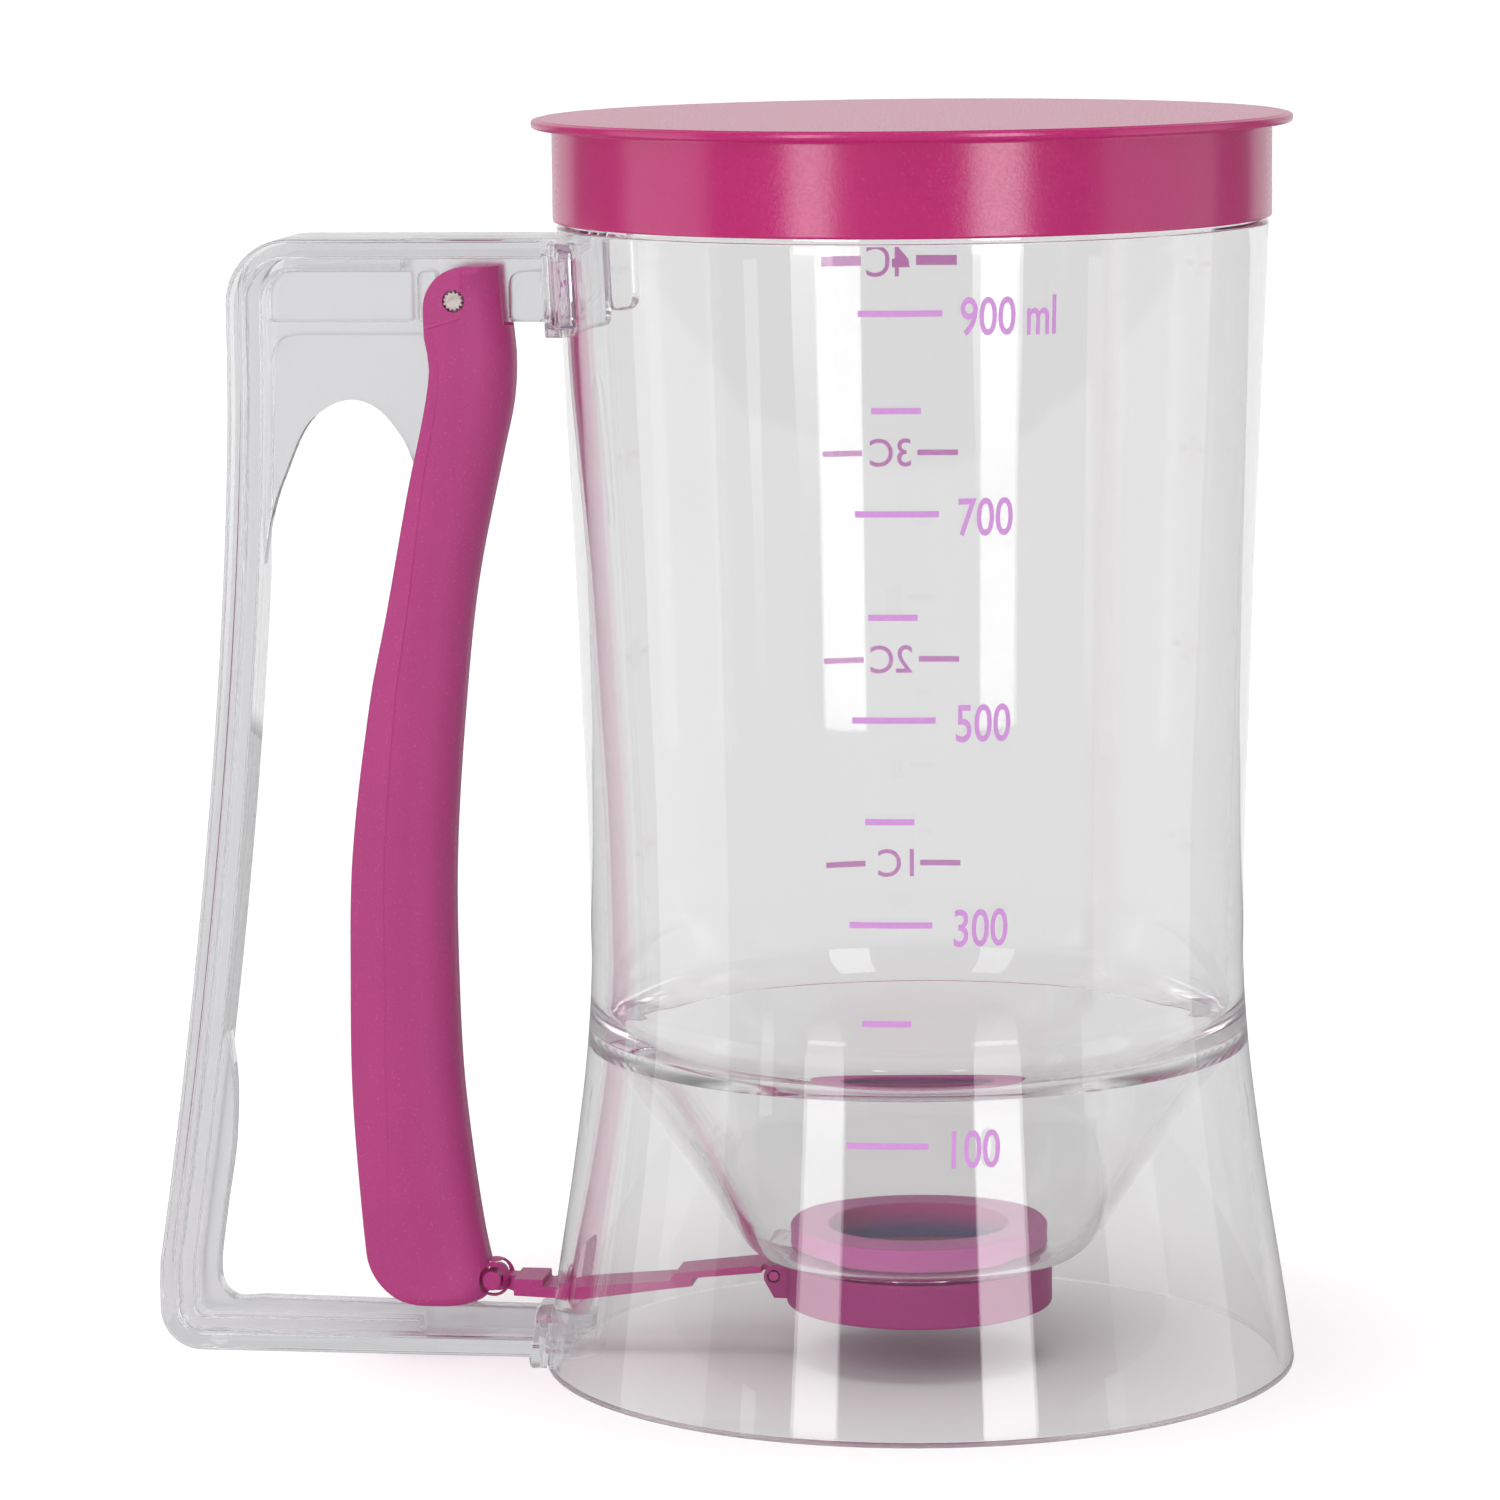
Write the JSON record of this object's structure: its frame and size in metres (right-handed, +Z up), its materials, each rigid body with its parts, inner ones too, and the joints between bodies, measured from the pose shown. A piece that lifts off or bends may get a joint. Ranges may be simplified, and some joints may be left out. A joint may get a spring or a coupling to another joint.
{
  "type": "batter dispenser",
  "caption": "Clear hand-held batter dispenser with a funnel floor, a lift-off purple lid, a C-shaped handle and a sprung trigger that slides a gate away from the outlet.",
  "frame": {"origin": "middle of the whole object's footprint, on the surface it stands on", "axes": "+Z up; the handle points to -X and the tub stands towards +X; the tub's axis is at x = 0.0288 m"},
  "size_m": [0.1676, 0.11, 0.182],
  "materials": {
    "clear_plastic": "glossy",
    "lid_plastic": "satin",
    "trigger_plastic": "satin",
    "gate_plastic": "satin",
    "steel": "satin"
  },
  "bodies": {
    "tub": {"tub_wall": "clear_plastic", "funnel_floor": "clear_plastic", "base_skirt": "clear_plastic", "handle_frame": "clear_plastic"},
    "trigger": {"trigger": "trigger_plastic", "pivot_pin": "steel", "return_spring": "steel"},
    "gate": {"gate_cap": "gate_plastic"},
    "bar": {"slide_bar": "gate_plastic"},
    "lid": {"lid": "lid_plastic"}
  },
  "joints": [
    {"name": "trigger_pivot", "type": "hinge", "parent": "tub", "child": "trigger", "pos_m": [-0.0371, 0, 0.1557], "axis": [0, 1, 0], "range_deg": [0, 8.8], "stiffness_Nm_per_rad": 1, "springref_deg": -17.19},
    {"name": "gate_slide", "type": "slide", "parent": "tub", "child": "gate", "axis": [-1, 0, 0], "range_m": [0, 0.0223]},
    {"name": "bar_tilt", "type": "hinge", "parent": "gate", "child": "bar", "pos_m": [0.0077, 0, 0.0122], "axis": [0, 1, 0], "range_deg": [0, 1.6]},
    {"name": "lid_lift", "type": "slide", "parent": "tub", "child": "lid", "axis": [0, 0, 1], "range_m": [0, 0.03]}
  ],
  "couplings": [
    {"joint": "gate_slide", "follows": "trigger_pivot", "m_per_rad": 0.145},
    {"joint": "bar_tilt", "follows": "trigger_pivot", "ratio": 0.18}
  ]
}
